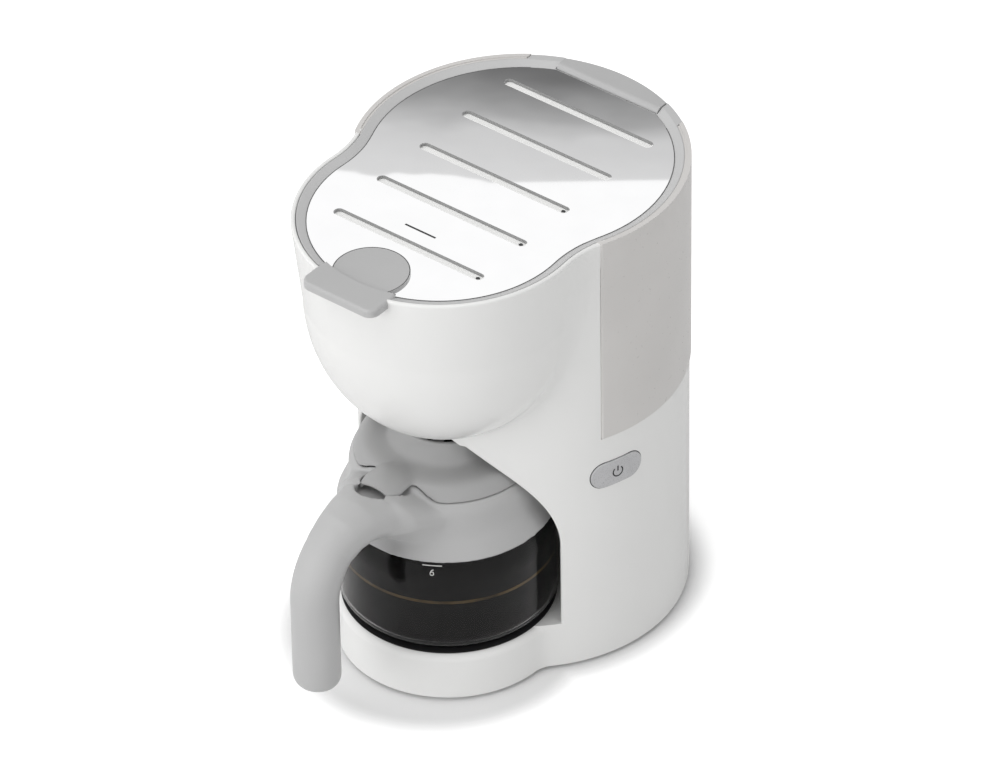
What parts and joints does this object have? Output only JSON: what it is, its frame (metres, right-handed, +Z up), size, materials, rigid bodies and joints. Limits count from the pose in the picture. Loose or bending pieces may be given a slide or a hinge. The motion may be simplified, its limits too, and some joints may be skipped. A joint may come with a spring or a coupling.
{
  "type": "drip coffee maker",
  "caption": "White drip coffee maker with a slotted steel lid, translucent rear water tank, round brew head and a glass carafe with a grey hook handle.",
  "frame": {"origin": "on the floor under the middle of the whole width and depth, handle included", "axes": "+Z up, -Y to the front where the carafe handle points, +X to the side with the power button"},
  "size_m": [0.1796, 0.2808, 0.279],
  "materials": {
    "white_gloss": "smooth gloss",
    "tank_clear": "milky translucent",
    "grey_satin": "satin",
    "steel_polished": "mirror polished",
    "steel": "brushed",
    "hotplate_black": "satin non-stick",
    "heater_cast": "as cast",
    "silicone": "matt",
    "black_rubber": "matt",
    "glass": "clear",
    "dark_plastic": "matt",
    "button_silver": "silver satin"
  },
  "bodies": {
    "machine": {"lower_housing": "white_gloss", "upper_housing": "white_gloss", "water_tank": "tank_clear", "bottom_cover": "white_gloss", "rubber_feet": "black_rubber", "cover_screws": "steel", "hotplate": "hotplate_black", "hotplate_seal": "silicone", "heater": "heater_cast", "heater_clamp": "steel", "thermostat": "dark_plastic", "thermal_fuse": "steel", "inlet_hose": "silicone", "check_valve": "dark_plastic", "heater_hose": "silicone", "riser_pipe": "silicone", "riser_grommet": "silicone", "power_switch": "dark_plastic", "cord_gland": "dark_plastic", "filter_holder": "dark_plastic", "hinge_block": "grey_satin"},
    "lid": {"lid_frame": "grey_satin", "lid_plate": "steel_polished", "lid_tab": "grey_satin", "spray_head": "white_gloss", "lid_pin": "steel"},
    "carafe": {"carafe_glass": "glass", "carafe_collar": "grey_satin", "carafe_handle": "grey_satin", "carafe_lid": "grey_satin", "carafe_seal": "silicone"},
    "button": {"power_button": "button_silver"},
    "drip_stop": {"drip_stop": "dark_plastic", "drip_seal": "silicone"}
  },
  "joints": [
    {"name": "lid_hinge", "type": "hinge", "parent": "machine", "child": "lid", "pos_m": [0, 0.12805, 0.276], "axis": [-1, 0, 0], "range_deg": [0, 95]},
    {"name": "carafe_slide", "type": "slide", "parent": "machine", "child": "carafe", "axis": [0, -1, 0], "range_m": [0, 0.2]},
    {"name": "power_press", "type": "slide", "parent": "machine", "child": "button", "axis": [-0.9494, 0.314, 0], "range_m": [0, 0.0025], "stiffness_N_per_m": 400},
    {"name": "drip_stop_drop", "type": "slide", "parent": "machine", "child": "drip_stop", "axis": [0, 0, -1], "range_m": [0, 0.003]}
  ],
  "couplings": [
    {"joint": "drip_stop_drop", "follows": "carafe_slide", "ratio": 0.015}
  ]
}
